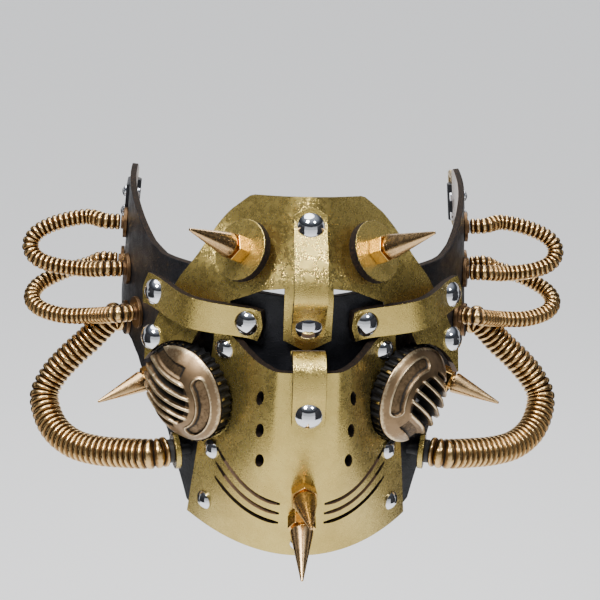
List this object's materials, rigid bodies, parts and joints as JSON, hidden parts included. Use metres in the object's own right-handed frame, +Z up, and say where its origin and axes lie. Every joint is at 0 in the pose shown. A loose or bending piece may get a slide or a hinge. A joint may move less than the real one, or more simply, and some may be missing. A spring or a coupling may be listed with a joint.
{
  "type": "plague doctor mask",
  "caption": "Half-face leather costume mask with gold plates, riveted straps, brass spikes, domed vent grilles that turn and ribbed bronze hoses looping from the cheeks",
  "frame": {"origin": "on the middle plane, at the wearer's nose, 6 mm in front of which the nose strap's lower rivet stands; the head mount is here", "axes": "-Y forward out of the mask's front, +Z up, +X across towards the mask's right-hand side as seen from the front"},
  "size_m": [0.2212, 0.1521, 0.1277],
  "materials": {
    "gold_leather": "metallic gold foil on grained leather, satin",
    "black_leather": "black smooth-grained leather with a brown suede back, satin",
    "rivet_chrome": "polished",
    "hex_brass": "polished, darkened at the seams",
    "cone_bronze": "satin antique bronze-gold",
    "ring_black": "black with gilt wear on the teeth",
    "post_steel": "turned",
    "backing_dark": "matt black",
    "grille_bronze": "antique bronze, rubbed bright on the edges",
    "hose_bronze": "ribbed antique bronze, dark in the grooves",
    "flange_bronze": "dark bronze",
    "collar_black": "matt black",
    "loop_metal": "satin antique brass"
  },
  "bodies": {
    "mask": {"leather_base": "black_leather", "nose_plate": "gold_leather", "chin_plate": "gold_leather", "nose_strap": "gold_leather", "chin_strap": "gold_leather", "left_cheek_strap": "gold_leather", "right_cheek_strap": "gold_leather", "left_brow_disc": "gold_leather", "right_brow_disc": "gold_leather", "left_brow_hex": "hex_brass", "right_brow_hex": "hex_brass", "left_brow_cone": "cone_bronze", "right_brow_cone": "cone_bronze", "left_side_hex": "hex_brass", "right_side_hex": "hex_brass", "left_side_cone": "cone_bronze", "right_side_cone": "cone_bronze", "upper_chin_hex": "hex_brass", "lower_chin_hex": "hex_brass", "upper_chin_cone": "cone_bronze", "lower_chin_cone": "cone_bronze", "nose_rivets": "rivet_chrome", "left_cheek_rivets": "rivet_chrome", "right_cheek_rivets": "rivet_chrome", "chin_rivets": "rivet_chrome", "chin_strap_rivet": "rivet_chrome", "left_gear_ring": "ring_black", "right_gear_ring": "ring_black", "left_ring_post": "post_steel", "right_ring_post": "post_steel", "left_backing": "backing_dark", "right_backing": "backing_dark", "left_upper_hose": "hose_bronze", "left_middle_hose": "hose_bronze", "left_lower_hose": "hose_bronze", "right_upper_hose": "hose_bronze", "right_middle_hose": "hose_bronze", "right_lower_hose": "hose_bronze", "left_hose_flanges": "flange_bronze", "right_hose_flanges": "flange_bronze", "left_hose_disc": "gold_leather", "right_hose_disc": "gold_leather", "left_hose_collar": "collar_black", "right_hose_collar": "collar_black", "left_strap_tab": "black_leather", "right_strap_tab": "black_leather", "left_tab_rivets": "rivet_chrome", "right_tab_rivets": "rivet_chrome"},
    "left_grille": {"left_grille": "grille_bronze"},
    "left_strap_loop": {"left_strap_loop": "loop_metal"},
    "right_grille": {"right_grille": "grille_bronze"},
    "right_strap_loop": {"right_strap_loop": "loop_metal"}
  },
  "joints": [
    {"name": "left_grille_turn", "type": "hinge", "parent": "mask", "child": "left_grille", "pos_m": [-0.03927, 0.00816, -0.032], "axis": [-0.6566, -0.7542, 0], "continuous": true},
    {"name": "right_grille_turn", "type": "hinge", "parent": "mask", "child": "right_grille", "pos_m": [0.03621, 0.00743, -0.032], "axis": [0.6566, -0.7542, 0], "continuous": true},
    {"name": "left_loop_swing", "type": "hinge", "parent": "mask", "child": "left_strap_loop", "pos_m": [-0.06866, 0.0968, 0.01388], "axis": [0.1228, 0, 0.9924], "range_deg": [-70, 70]},
    {"name": "right_loop_swing", "type": "hinge", "parent": "mask", "child": "right_strap_loop", "pos_m": [0.06866, 0.0968, 0.01388], "axis": [-0.1228, 0, 0.9924], "range_deg": [-70, 70]}
  ]
}
